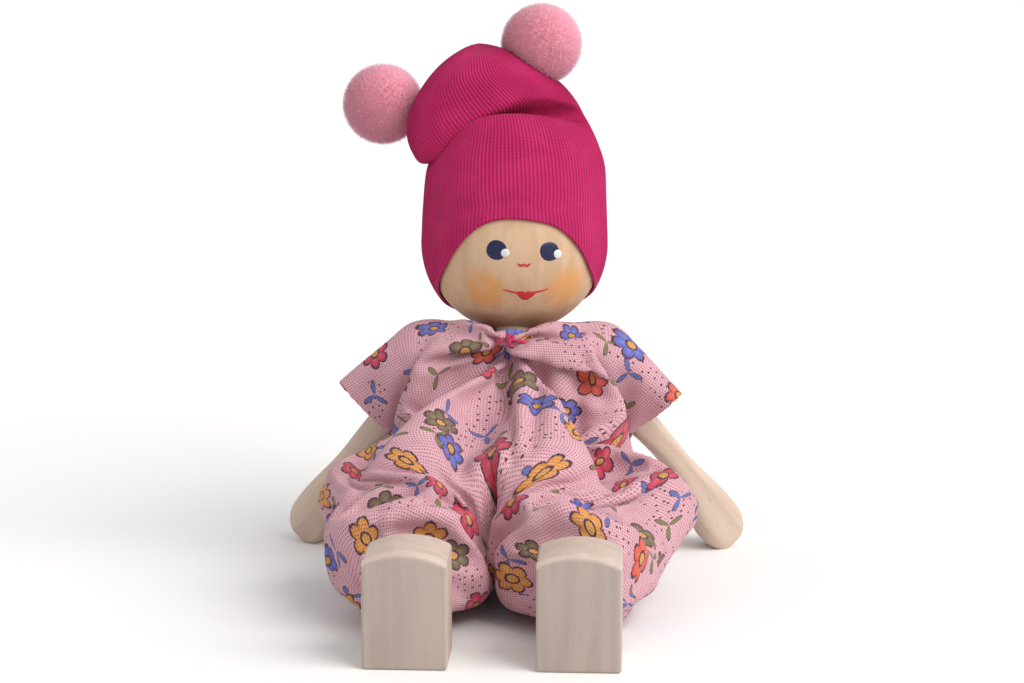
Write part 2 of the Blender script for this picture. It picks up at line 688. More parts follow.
def knitMaterial():
    material, tree, shader = newMaterial("magentaKnit")
    place = objectPlace(tree)
    uv = splitAxes(tree, addNode(tree, "ShaderNodeUVMap", uv_map="knit").outputs["UV"])
    fromMiddle = calc(tree, "ABSOLUTE", calc(tree, "SUBTRACT", calc(tree, "FRACT", uv["X"]), 0.5))
    # loops lean like a V on each rib
    along = calc(tree, "FRACT", calc(tree, "ADD", uv["Y"], times(tree, fromMiddle, 1.1)))
    loop = calc(tree, "SINE", times(tree, along, math.pi))
    crown = calc(tree, "SUBTRACT", 1.0, calc(tree, "POWER", times(tree, fromMiddle, 2.0), 2.0))
    high = times(tree, crown, timesPlus(tree, loop, 0.45, 0.55))
    fuzz, patch = noise(tree, place, 5200.0), noise(tree, place, 260.0)
    shade = calc(tree, "MULTIPLY_ADD", fuzz, 0.35, timesPlus(tree, high, 0.75, -0.05), clamp=True)
    worn = times(tree, ramp(tree, patch, 0.35, 0.7), 0.14)
    feed(tree, shader, {
        "Base Color": mixColour(tree, worn, mixColour(tree, shade, hat["deep"], hat["lit"]), hat["worn"]),
        "Roughness": 0.85, "Specular IOR Level": 0.2,
        "Sheen Weight": 0.35, "Sheen Roughness": 0.45, "Sheen Tint": hat["sheen"],
    })
    bumpFrom(tree, shader, timesPlus(tree, fuzz, 0.3, high), 0.6, 0.00009)
    return material


def ringOf(points, turn):
    # A closed ring through four points, at the doll's right, front, left and back
    right, front, left, back = points
    centre, wide = (right + front + left + back) / 4, (left - right) / 2
    deep, pull = (front - back) / 2, (left + right - front - back) / 4
    ring = centre + np.outer(np.cos(turn), wide) + np.outer(np.sin(turn), deep)
    return ring + np.outer(np.cos(2 * turn), pull)


def softened(values):
    span = hat["softSpan"]
    weights = np.hanning(span) / np.hanning(span).sum()
    return np.convolve(np.concatenate([values[-(span // 2):], values, values[:span // 2]]), weights, "valid")


def onShell(turn, lift, radius):
    # Points of a ball round the head, by turn and by degrees above its middle
    lift, middle = np.radians(lift), np.array(headCentre)
    flat = np.cos(lift) * radius * mm
    out = np.outer(np.cos(turn) * flat, viewRight) + np.outer(np.sin(lift) * radius * mm, viewUp)
    return middle + out + np.outer(np.sin(turn) * flat, viewBack)


def hatRows(turn):
    # Rows of points from the brim's inside, over the band, to the crown's tip
    # turn 0 is the doll's left (picture right), a quarter is the front
    fromFront = (np.degrees(np.pi / 2 - turn) + 180) % 360 - 180
    brim, top = (softened(np.interp(fromFront, *zip(*hat[line]))) for line in ("brim", "bandTop"))
    inner, outer, count = headRadius / mm + 0.1, hat["radius"], hat["bandRows"]
    rolled = ((6, inner), (2.0, inner), (0.2, inner + 0.12), (-0.5, (inner + outer) / 2), (0.3, outer - 0.03))
    lip = [onShell(turn, brim + lift, radius) for lift, radius in rolled]
    band = [onShell(turn, brim + (top - brim) * (0.015 + 0.985 * k / count), outer) for k in range(1, count)]
    first, quarter = band[-1], len(turn) // 4
    start = first[[2 * quarter, quarter, 0, 3 * quarter]]
    keys = np.array([start, *([np.array(pictured(*point)) for point in row] for row in hat["rows"])])
    crown = []
    for k, points in enumerate(throughPoints(keys, hat["rowsPerKey"])[1:]):
        # the first crown rows take over the band's own round
        ease = smoothStep(0, hat["easeRows"], k + 1)
        crown.append(ringOf(points, turn) + (first - ringOf(start, turn)) * (1 - ease))
    rows = pressCreases(np.array(lip + band + crown), len(lip) + len(band))
    return liftRibs(rows, len(lip))


def makeHat():
    columns = hat["ribs"] * hat["perRib"]
    rows = hatRows(2 * np.pi * np.arange(columns) / columns)
    piece = meshPiece("knitHat", rows.reshape(-1, 3), ringFaces(len(rows), columns), knitMaterial())
    step = np.linalg.norm(np.diff(rows[:, ::8], axis=0), axis=2).mean(1)
    along = np.concatenate([[0], np.cumsum(step)]) / (hat["stitch"] * mm)
    corners = readArray(piece.data.loops, "vertex_index", kind=int)
    column = corners.reshape(-1, 4) % columns
    # the faces that close the tube count on instead of back to nought
    closing = column.max(1) - column.min(1) > columns / 2
    column[closing] = np.where(column[closing] == 0, columns, column[closing])
    uv = np.stack([column.ravel() / hat["perRib"], along[corners // columns]], 1)
    piece.data.uv_layers.new(name="knit").data.foreach_set("uv", uv.ravel())
    finished(piece, "head", "knit_hat")


def inPicture(points):
    # Pixels at which points are seen
    seen = points - np.array(bpy.context.scene.camera.matrix_world.translation)
    perDepth = shot["focalPixels"] / (-seen @ np.array(viewBack))
    width, height = shot["frame"]
    x, y = (seen @ np.array(axis) * perDepth for axis in (viewRight, viewUp))
    return np.stack([width / 2 + x, height / 2 - y], -1)


def rowNormals(rows):
    around = np.roll(rows, -1, axis=1) - np.roll(rows, 1, axis=1)
    up = np.gradient(rows, axis=0)
    normal = np.cross(around, up)
    return normal / np.maximum(np.linalg.norm(normal, axis=2, keepdims=True), 1e-12)


def pressCreases(rows, start):
    normal = rowNormals(rows)
    facing = smoothStep(0.05, 0.45, normal @ np.array(viewBack))
    facing[:start] = 0
    seen = inPicture(rows)
    for path, width, depth in hat["creases"]:
        fine = throughPoints(path, 12)
        away = np.min(np.linalg.norm(seen[:, :, None] - fine[None, None], axis=3), axis=2)
        rows = rows - normal * (np.exp(-(away / width) ** 2) * facing * depth * mm)[:, :, None]
    return rows


def liftRibs(rows, start):
    count, columns = rows.shape[:2]
    rib = 0.5 - 0.5 * np.cos(2 * np.pi * np.arange(columns) / hat["perRib"])
    row = np.arange(count)
    fade = smoothStep(0, 3, row - start + 1) * smoothStep(0, 10, count - 1 - row)
    return rows + rowNormals(rows) * (np.outer(fade, rib) * hat["ribDepth"] * mm)[:, :, None]


makeHat()
print("hat knitted")


# Pompoms: a dense ball of short fibres over a core
plush = {
    "fibres": 15000, "length": 1.05, "thick": 0.045, "lean": 0.32, "shortest": 0.8, "seed": 7,
    "colour": (1.0, 0.53, 0.645), "root": (1.0, 0.43, 0.56), "sheen": (1.0, 0.62, 0.7, 1),
}


def plushMaterial():
    material, tree, shader = newMaterial("pinkPlush")
    speck = ramp(tree, noise(tree, objectPlace(tree), 2600.0, 3.0), 0.3, 0.68)
    feed(tree, shader, {"Base Color": mixColour(tree, speck, plush["root"], plush["colour"]), "Roughness": 0.9,
                        "Specular IOR Level": 0.15, "Sheen Weight": 0.7, "Sheen Tint": plush["sheen"]})
    return material


def fibreTree(material):
    # Fibres stand on a core, each a thin three-sided spike, leaning a little.
    tree = bpy.data.node_groups.new("fibres", "GeometryNodeTree")
    tree.interface.new_socket("Geometry", in_out="INPUT", socket_type="NodeSocketGeometry")
    kinds = {"Count": "Int", "Length": "Float", "Thickness": "Float", "Seed": "Int", "Area": "Float"}
    sockets = {label: tree.interface.new_socket(label, in_out="INPUT", socket_type="NodeSocket" + kind).identifier
               for label, kind in kinds.items()}
    tree.interface.new_socket("Geometry", in_out="OUTPUT", socket_type="NodeSocketGeometry")
    given = tree.nodes.new("NodeGroupInput").outputs
    leave = tree.nodes.new("NodeGroupOutput")
    density = calc(tree, "DIVIDE", given["Count"], given["Area"])
    scatter = addNode(tree, "GeometryNodeDistributePointsOnFaces",
                      {"Mesh": given["Geometry"], "Density": density, "Seed": given["Seed"]}).outputs
    spike = addNode(tree, "GeometryNodeMeshCone", {
        "Vertices": 3, "Radius Top": 0.0, "Radius Bottom": given["Thickness"], "Depth": given["Length"],
    }, fill_type="NONE")
    far = plush["lean"]
    lean = addNode(tree, "FunctionNodeRandomValue", {"Min": (-far, -far, 0.0), "Max": (far, far, 6.2),
                                                     "Seed": given["Seed"]}, data_type="FLOAT_VECTOR")
    turn = addNode(tree, "FunctionNodeRotateRotation", {"Rotation": scatter["Rotation"], "Rotate By": lean.outputs[0]},
                   rotation_space="LOCAL")
    size = addNode(tree, "FunctionNodeRandomValue", {2: plush["shortest"], 3: 1.0}, data_type="FLOAT")
    stood = addNode(tree, "GeometryNodeInstanceOnPoints", {
        "Points": scatter["Points"], "Instance": spike.outputs["Mesh"],
        "Rotation": turn.outputs[0], "Scale": size.outputs[1],
    })
    made = addNode(tree, "GeometryNodeRealizeInstances", {"Geometry": stood.outputs[0]})
    both = addNode(tree, "GeometryNodeJoinGeometry")
    tree.links.new(made.outputs[0], both.inputs[0])
    tree.links.new(given["Geometry"], both.inputs[0])
    dyed = addNode(tree, "GeometryNodeSetMaterial", {"Geometry": both.outputs[0], "Material": material})
    tree.links.new(dyed.outputs[0], leave.inputs[0])
    return tree, sockets


def makePompoms():
    material = plushMaterial()
    tree, sockets = fibreTree(material)
    for number, word in enumerate(sides):
        low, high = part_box("pompom_" + word)
        centre, radius = (low + high) / 2, (high.x - low.x) / 2
        core = radius - plush["length"] * mm * 0.5
        shape = bmesh.new()
        bmesh.ops.create_icosphere(shape, subdivisions=4, radius=core)
        bmesh.ops.translate(shape, verts=shape.verts, vec=centre)
        ball = placed("plushBall_" + word, meshFrom(shape, "pompom_" + word))
        ball.data.materials.append(material)
        fuzz = ball.modifiers.new("fibres", "NODES")
        fuzz.node_group = tree
        values = {"Count": plush["fibres"], "Length": plush["length"] * mm, "Thickness": plush["thick"] * mm,
                  "Seed": plush["seed"] + number, "Area": float(4 * math.pi * core * core)}
        for label, value in values.items():
            fuzz[sockets[label]] = value
        settle(ball)
        ball.data.shade_smooth()
        finished(ball, "head", "pompom_" + word)
        nodes["pompom_tie_" + word].data.materials[0] = material


makePompoms()
print("pompoms made")


# Printed cotton: a plain weave under scattered daisies, sprigs and dots
cotton = {
    "thick": 0.26, "pitch": 0.36, "wobble": 0.22,
    "pink": (0.71, 0.412, 0.47), "shade": (0.54, 0.265, 0.32), "hole": (0.25, 0.085, 0.115),
    "ink": (0.02, 0.018, 0.03), "dot": (0.035, 0.012, 0.018), "heart": (0.70, 0.36, 0.06), "bloom": (1, 0.85, 0.75),
    "leaves": ((0.16, 0.19, 0.05), (0.06, 0.15, 0.42)),
    "petals": [(0.04, 0.13, 0.56), (0.60, 0.02, 0.07), (0.80, 0.10, 0.03), (0.74, 0.31, 0.03), (0.11, 0.12, 0.03)],
    "flower": 8.8, "petalReach": 2.3, "centre": 0.75, "sprig": 8.2, "spray": 1.15,
}


def weaveGroup():
    # Plain weave from pattern metres: thread height and the small dark hole between threads.
    group, entry, leave = newGroup(
        "plainWeave", [("Pattern", "NodeSocketVector", None), ("Pitch", "NodeSocketFloat", cotton["pitch"] * mm)],
        [("Height", "NodeSocketFloat"), ("Hole", "NodeSocketFloat")])
    flat, far = entry.outputs["Pattern"], cotton["wobble"] * mm
    uneven = addNode(group, "ShaderNodeTexNoise", {"Vector": flat, "Scale": 900.0, "Detail": 1.0}).outputs["Color"]
    uneven = vectorCalc(group, "SUBTRACT", uneven, (0.5, 0.5, 0.5))
    place = splitAxes(group, vectorCalc(group, "MULTIPLY_ADD", uneven, (far, far, 0), flat))
    threads, cells = [], []
    for axis in ("X", "Y"):
        count = calc(group, "DIVIDE", place[axis], entry.outputs["Pitch"])
        threads.append(calc(group, "SINE", times(group, calc(group, "FRACT", count), math.pi)))
        cells.append(calc(group, "FLOOR", count))
    odd = calc(group, "ABSOLUTE", calc(group, "MODULO", calc(group, "ADD", *cells), 2.0))
    lifted = [times(group, thread, timesPlus(group, odd, *lift))
              for thread, lift in zip(threads, ((0.4, 0.6), (-0.4, 1.0)))]
    between = [ramp(group, thread, 0.84, 0.34) for thread in threads]
    feed(group, leave, {"Height": calc(group, "MAXIMUM", *lifted), "Hole": times(group, *between)})
    return group


def motifCells(tree, flat, size, shift, randomness):
    # Scattered motif places: millimetres and angle from the nearest, and its own three random numbers.
    moved = vectorCalc(tree, "ADD", flat, shift)
    cells = addNode(tree, "ShaderNodeTexVoronoi", {"Vector": moved, "Scale": 1000.0 / size, "Randomness": randomness},
                    feature="F1", voronoi_dimensions="2D").outputs
    place = vectorCalc(tree, "SUBTRACT", moved, cells["Position"])
    chance = addNode(tree, "ShaderNodeSeparateColor", {"Color": cells["Color"]}).outputs
    axes = splitAxes(tree, place)
    angle = calc(tree, "ARCTAN2", axes["Y"], axes["X"])
    spin = timesPlus(tree, chance["Red"], 6.28, angle)
    return times(tree, vectorCalc(tree, "LENGTH", place), 1000.0), spin, chance


def petalWave(tree, spin, count, power):
    wave = calc(tree, "ABSOLUTE", calc(tree, "COSINE", times(tree, spin, count)))
    return wave, calc(tree, "POWER", wave, power)


def printGroup():
    # Round daisies with inked edges, leaf sprigs and sprays of dots, scattered over the pattern.
    group, entry, leave = newGroup(
        "daisyPrint", [("Pattern", "NodeSocketVector", None), ("Ground", "NodeSocketColor", (1, 1, 1, 1))],
        [("Color", "NodeSocketColor")])
    flat, colour, ink = entry.outputs["Pattern"], entry.outputs["Ground"], cotton["ink"]

    def paint(below, value, low, high, shade):
        return mixColour(group, ramp(group, value, low, high), below, shade)

    # sprays of dots in drifts
    far = motifCells(group, flat, cotton["spray"], (0.03, 0.01, 0), 0.55)[0]
    drift = noise(group, flat, 130.0, 1.0, noise_dimensions="2D")
    dots = times(group, ramp(group, far, 0.19, 0.13), ramp(group, drift, 0.58, 0.62))
    colour = mixColour(group, dots, colour, cotton["dot"])

    # sprigs: three pointed leaves on a short stem
    far, spin, chance = motifCells(group, flat, cotton["sprig"], (0.011, 0.023, 0), 0.7)
    leaf = times(group, petalWave(group, spin, 1.5, 5.0)[1], 2.1)
    inside = calc(group, "SUBTRACT", leaf, far)
    green, blue = cotton["leaves"]
    colour = paint(colour, inside, -0.12, 0.02, ink)
    colour = paint(colour, inside, 0.10, 0.22, paint(green, chance["Green"], 0.45, 0.55, blue))

    # daisies
    far, spin, chance = motifCells(group, flat, cotton["flower"], (0, 0, 0), 0.62)
    lobes, rounded = petalWave(group, spin, 3.0, 0.6)
    size = timesPlus(group, chance["Blue"], 0.35, 0.8)
    reach = cotton["petalReach"]
    inside = calc(group, "SUBTRACT", times(group, size, timesPlus(group, rounded, reach * 0.42, reach * 0.58)), far)
    dye = addNode(group, "ShaderNodeValToRGB", {"Fac": chance["Green"]})
    dye.color_ramp.interpolation = "CONSTANT"
    stops = dye.color_ramp.elements
    for k, shade in enumerate(cotton["petals"]):
        stop = stops[k] if k < 2 else stops.new(k / len(cotton["petals"]))
        stop.position = k / len(cotton["petals"])
        stop.color = (*shade, 1)
    petal = dye.outputs["Color"]
    tint = paint(petal, times(group, inside, lobes), 0.1, 1.3, mixColour(group, 0.12, petal, cotton["bloom"]))
    middle = calc(group, "SUBTRACT", times(group, size, cotton["centre"]), far)
    for value, low, high, shade in ((inside, -0.3, -0.16, ink), (inside, 0.06, 0.2, tint),
                                    (middle, -0.2, -0.06, ink), (middle, 0.1, 0.22, cotton["heart"])):
        colour = paint(colour, value, low, high, shade)
    feed(group, leave, {"Color": colour})
    return group


def cottonMaterial():
    material, tree, shader = newMaterial("printedCotton")
    flat = addNode(tree, "ShaderNodeUVMap", uv_map="pattern").outputs["UV"]
    weave = useGroup(tree, weaveGroup(), {"Pattern": flat, "Pitch": cotton["pitch"] * mm})
    worn = times(tree, ramp(tree, noise(tree, flat, 420.0, 3.0), 0.35, 0.7), 0.3)
    ground = mixColour(tree, worn, cotton["pink"], cotton["shade"])
    printed = useGroup(tree, printGroup(), {"Pattern": flat, "Ground": ground})["Color"]
    low = ramp(tree, weave["Height"], 0.85, 0.35)
    threads = mixColour(tree, low, printed, mixColour(tree, 0.45, printed, cotton["shade"]))
    colour = mixColour(tree, times(tree, weave["Hole"], 0.95), threads, cotton["hole"])
    feed(tree, shader, {"Base Color": colour, "Roughness": 0.88, "Specular IOR Level": 0.2, "Sheen Weight": 0.12})
    bumpFrom(tree, shader, weave["Height"], 0.55, 0.00008)
    return material


# Romper: two panels of printed cotton cut alike, sewn edge to edge, gathered on threads and settled by simulation
# The pattern is in millimetres: across from the middle line, and down from the neck.
pattern = {
    "half": [(0, 0), (11.5, 0), (31.6, 4), (28.6, 20.4), (25.5, 23), (31, 30), (37, 38), (38.5, 46), (37.5, 55),
             (35, 64), (27, 73), (2, 73), (0.8, 62), (0.3, 51), (0, 48)],
    "open": [((0, 0), (11.5, 0)), ((31.6, 4), (28.6, 20.4)), ((2, 73), (27, 73))],
    "step": 1.15, "neckBand": (-1, 2.9), "neckHalf": 11, "ankleBand": (69.4, 71.6), "length": 73,
    "backPrint": (0.137, 0.061),      # the back panel shows another part of the print
}
# The doll starts standing with its arms raised, and sits down while the cloth settles.
sitting = {
    "scale": 20.0, "move": (6, 34), "frames": 56, "standing": 70, "raised": 30, "floorDrop": 1.2,
    "pressure": 3.0, "gravity": 1.0, "stretch": 60, "bend": 60, "mass": 0.25, "friction": 3,
    "damping": 8, "bendDamping": 1.0, "air": 2.0, "quality": 7, "touch": 0.008, "touchQuality": 3,
    "gap": 0.02, "torsoGap": 0.016, "floorGap": 0.006, "inside": 0.05,
    "shoulderCap": 4.2, "capShift": (1.6, 0, 1.4), "slab": (0.4, 0.4, 0.025),
    # where air puffs the cloth, down the pattern and out from its middle; the doll's right leg lies flatter
    "puffed": (18, 32), "legs": (45, 54), "legSlack": (0.7, 0.25),
    "sleevePuff": 0.3, "sleeveOut": (11, 18), "sleeveDown": (30, 22),
}
# How the pattern is put on the standing doll: millimetres down the pattern (along the sleeve for the last table) and
# a size there
standing = {
    "neckAbove": 4.95, "ankleBehind": 2.7, "ripples": 8, "puckers": 7,
    "half": [(0, 11.5), (6, 24), (18, 25.5), (23, 25.5), (30, 31), (38, 37), (46, 38.5)],
    "wide": [(0, 4.8), (2, 4.4), (3.2, 5.8), (6, 10.5), (20, 18.5), (30, 25), (44, 31)],
    "deep": [(0, 5.4), (2, 5.1), (3.2, 6.0), (6, 7.6), (20, 9.8), (30, 11), (44, 11.5)],
    "ripple": [(0, 0.8), (2, 0.65), (5, 0.9), (9, 0)],
    "belly": [(20, 0), (30, 4), (40, 7), (47, 5), (52, 0)],
    "dip": [(0, 1), (3, 1), (12, 0)],
    "innerLeg": [(48, 0), (51, 0.3), (62, 0.8), (73, 2)],
    "outerLeg": [(38, 37), (46, 38.5), (55, 37.5), (64, 35), (73, 27)],
    "pucker": [(60, 0), (68, 0.7), (73, 0.7)],
    "legRadius": [(48, 11.9), (63, 11.1), (70.6, 3.7), (73, 4.6)],
    "legShift": [(48, 1), (63, 1), (70.6, 0)],
    "sleeveHalf": [(-6, 11), (0, 9.8), (8, 9), (20, 8.7)],
}


def onOpenEdge(spot):
    at = np.array((abs(spot[0]), spot[1]))
    for start, end in pattern["open"]:
        first, along = np.array(start, float), np.array(end, float) - np.array(start, float)
        share = (at - first) @ along / (along @ along)
        if share < 0.99 and (share > 0.01 or start[0] == 0) and np.linalg.norm(at - first - along * share) < 1e-3:
            return True
    return False


def insideOutline(spot, outline):
    x, y = spot
    crossings = 0
    for (ax, ay), (bx, by) in zip(outline, outline[1:] + outline[:1]):
        if (ay > y) != (by > y) and x < (bx - ax) * (y - ay) / (by - ay) + ax:
            crossings += 1
    return crossings % 2 == 1


def cutPanel():
    half, step = pattern["half"], pattern["step"]
    outline = half + [(-x, y) for x, y in reversed(half) if x > 0]
    edge, inner = [], []
    for (ax, ay), (bx, by) in zip(outline, outline[1:] + outline[:1]):
        count = max(1, round(math.hypot(bx - ax, by - ay) / step))
        edge += [(ax + (bx - ax) * k / count, ay + (by - ay) * k / count) for k in range(count)]
    rim = np.array(edge)
    rise = step * math.sqrt(3) / 2
    widest = 40
    for row in range(int(pattern["length"] / rise) + 1):
        for column in range(-widest, widest + 1):
            spot = ((column + 0.5 * (row % 2)) * step, row * rise)
            if insideOutline(spot, outline) and np.hypot(*(rim - spot).T).min() > step * 0.62:
                inner.append(spot)
    closed = [(k, (k + 1) % len(edge)) for k in range(len(edge))]
    made = delaunay_2d_cdt([Vector(spot) for spot in edge + inner], closed, [], 1, 1e-5)
    return np.array([tuple(spot) for spot in made[0]]), [tuple(face) for face in made[2]]


def sewPanels():
    # The panel twice; sewn edges share their points. Side is -1 in front, 1 behind and 0 on a seam.
    spots, faces = cutPanel()
    uses = {}
    for face in faces:
        for a, b in zip(face, face[1:] + face[:1]):
            uses[min(a, b), max(a, b)] = uses.get((min(a, b), max(a, b)), 0) + 1
    rim = {i for pair, times in uses.items() if times == 1 for i in pair}
    sewn = np.array([i in rim and not onOpenEdge(spot) for i, spot in enumerate(spots)])
    behind = np.where(sewn, np.arange(len(spots)), len(spots) + np.cumsum(~sewn) - 1)
    flat = np.concatenate([spots, spots[~sewn]])
    side = np.concatenate([np.where(sewn, 0.0, -1.0), np.ones((~sewn).sum())])
    return flat, side, faces + [tuple(int(behind[i]) for i in reversed(face)) for face in faces]


def fromTable(label, at):
    return np.interp(at, *zip(*standing[label]))


def standingShape(flat, side):
    # Where the pattern's points start, in millimetres along the torso's own axes from the hips.
    x, down = flat.T
    out, hand = np.abs(x), np.sign(x)
    hip, shoulder = (Vector(joints[name]["pos_m"]) / mm for name in ("hip_left", "shoulder_left"))
    seat = (shoulder - Vector((0, hip.y, hip.z))).dot(spineUp)
    neckAt, ankleAt = seat + standing["neckAbove"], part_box("foot_left")[1][1] / mm - hip.y + standing["ankleBehind"]
    level = np.interp(down, [0, 2, 42, 73], [neckAt + 1.6, neckAt - 0.4, -7, ankleAt - 0.6])
    # the body: rings from the drawn neck to the wide hem, rippled where they are gathered
    half, wide = fromTable("half", down), fromTable("wide", down)
    turn = np.clip(out / half, 0, 1) * np.pi / 2
    waves = np.cos(standing["ripples"] * np.arctan2(np.sin(turn) * hand, -side * np.cos(turn))) * (out < half)
    ripple = fromTable("ripple", down) * waves
    deep = fromTable("deep", down) + ripple + (side < 0) * fromTable("belly", down)
    dip = fromTable("dip", down) * (0.4 - 1.4 * side * np.cos(turn))
    body = np.stack([hand * (wide + ripple) * np.sin(turn), side * deep * np.cos(turn), level - dip], 1)
    # the legs: tubes drawn in at the ankles
    inner, outer = fromTable("innerLeg", down), fromTable("outerLeg", down)
    turn = np.clip((2 * out - inner - outer) / (outer - inner), -1, 1) * np.pi / 2
    pucker = fromTable("pucker", down) * np.cos(standing["puckers"] * (turn + np.pi * (side > 0)))
    radius = fromTable("legRadius", down) + pucker
    middle = hip.x + fromTable("legShift", down) * np.where(x < 0, 2.0, -0.6)
    leg = np.stack([hand * (middle + radius * np.sin(turn)), side * radius * np.cos(turn), level], 1)
    share = smoothStep(44, 54, down)[:, None]
    start = body * (1 - share) + leg * share
    # the sleeves: tubes along the raised arms
    drop = math.radians(sitting["raised"])
    axis = np.array((19.75, 4.5)) / math.hypot(19.75, 4.5)
    along = (out - 13) * axis[0] + (down - 8) * axis[1]
    over = (down - 8) * axis[0] - (out - 13) * axis[1]
    half = fromTable("sleeveHalf", along)
    turn, radius = np.clip(over / half, -1, 1) * np.pi / 2, half * 2 / np.pi
    sideways = shoulder.x - 1 + math.cos(drop) * (along + 1.5) - math.sin(drop) * np.sin(turn) * radius
    height = seat + 1.4 - math.sin(drop) * (along + 1.5) - math.cos(drop) * np.sin(turn) * radius * 1.05
    sleeve = np.stack([hand * sideways, side * radius * np.cos(turn) * 1.05, height], 1)
    share = (smoothStep(13, 21, out) * smoothStep(30, 22, down))[:, None]
    return start * (1 - share) + sleeve * share


def turner(place, first, last):
    # An empty that turns while the doll sits down.
    holder = placed("turner", None)
    holder.location = place * sitting["scale"]
    holder.rotation_mode = "QUATERNION"
    begin, finish = sitting["move"]
    for moment in range(begin, finish + 1):
        holder.rotation_quaternion = first.slerp(last, (moment - begin) / (finish - begin))
        holder.keyframe_insert("rotation_quaternion", frame=moment)
    evenPace(holder)
    return holder


def evenPace(thing):
    for curve in thing.animation_data.action.fcurves:
        for key in curve.keyframe_points:
            key.interpolation = "LINEAR"


def collider(mesh, holder=None, gap=sitting["gap"]):
    # A solid that the cloth can't pass, at the simulation's scale.
    solid = placed("solid", mesh)
    mesh.transform(Matrix.Scale(sitting["scale"], 4))
    if holder is not None:
        solid.parent = holder
        solid.matrix_parent_inverse = Matrix.Translation(-holder.location)
    solid.modifiers.new("solid", "COLLISION")
    solid.collision.thickness_outer = gap
    solid.collision.thickness_inner = sitting["inside"]
    solid.collision.cloth_friction = sitting["friction"]
    solid.collision.use_culling = True
    solid.collision.use_normal = False
    return solid


def sittingSolids(axes):
    made = [collider(nodes["torso_block"].data.copy(), gap=sitting["torsoGap"])]
    made.append(collider(nodes["head_ball"].data.copy()))
    hips = {}
    still = Quaternion()
    for word, sign in sides.items():
        hip = Vector((0, *joints["hip_" + word]["pos_m"][1:]))
        hips[word] = turner(hip, Quaternion((1, 0, 0), math.radians(sitting["standing"])), still)
        made += [collider(nodes[name + word].data.copy(), hips[word]) for name in ("leg_", "foot_", "hip_pin_")]
        shoulder, drop = Vector(joints["shoulder_" + word]["pos_m"]), math.radians(sitting["raised"])
        raised = axes @ Vector((sign * math.cos(drop), 0, -math.sin(drop)))
        arm = turner(shoulder, Vector(armAlong[word]).rotation_difference(raised), still)
        made += [arm, collider(nodes["arm_" + word].data.copy(), arm)]
        shape = bmesh.new()
        bmesh.ops.create_uvsphere(shape, u_segments=32, v_segments=20, radius=sitting["shoulderCap"] * mm)
        shift = Vector(sitting["capShift"]) * mm
        bmesh.ops.translate(shape, verts=shape.verts, vec=shoulder + axes @ Vector((shift.x * sign, shift.y, shift.z)))
        made.append(collider(meshFrom(shape, "cap")))
    shape = bmesh.new()
    below = Matrix.Translation((0, 0, -sitting["slab"][2] / 2))
    bmesh.ops.create_cube(shape, size=1, matrix=below @ Matrix.Diagonal((*sitting["slab"], 1)))
    ground = collider(meshFrom(shape, "slab"), gap=sitting["floorGap"])
    for moment, height in zip(sitting["move"], (-sitting["floorDrop"], 0)):
        ground.location.z = height
        ground.keyframe_insert("location", frame=moment)
    evenPace(ground)
    return made + [ground, *hips.values()], hips


def pickPoints(cloth, name, weights):
    group = cloth.vertex_groups.new(name=name)
    for i in np.nonzero(weights)[0]:
        group.add([int(i)], float(weights[i]), "REPLACE")


def clothSettings(cloth, lying):
    fabric = cloth.modifiers.new("fabric", "CLOTH")
    rules = fabric.settings
    rules.quality, rules.mass, rules.air_damping = (sitting[label] for label in ("quality", "mass", "air"))
    rules.tension_stiffness = rules.compression_stiffness = sitting["stretch"]
    rules.shear_stiffness, rules.bending_stiffness = sitting["stretch"] / 2, sitting["bend"]
    rules.tension_damping = rules.compression_damping = rules.shear_damping = sitting["damping"]
    rules.bending_damping = sitting["bendDamping"]
    rules.vertex_group_mass = "pin"
    rules.rest_shape_key = lying
    rules.effector_weights.gravity = sitting["gravity"]
    rules.vertex_group_pressure = "puff"
    rules.use_pressure = True
    rules.uniform_pressure_force = sitting["pressure"]
    touch = fabric.collision_settings
    touch.distance_min = touch.self_distance_min = sitting["touch"]
    touch.collision_quality = sitting["touchQuality"]
    touch.use_self_collision = True
    touch.self_friction = sitting["friction"]
    fabric.point_cache.frame_start, fabric.point_cache.frame_end = 1, sitting["frames"]


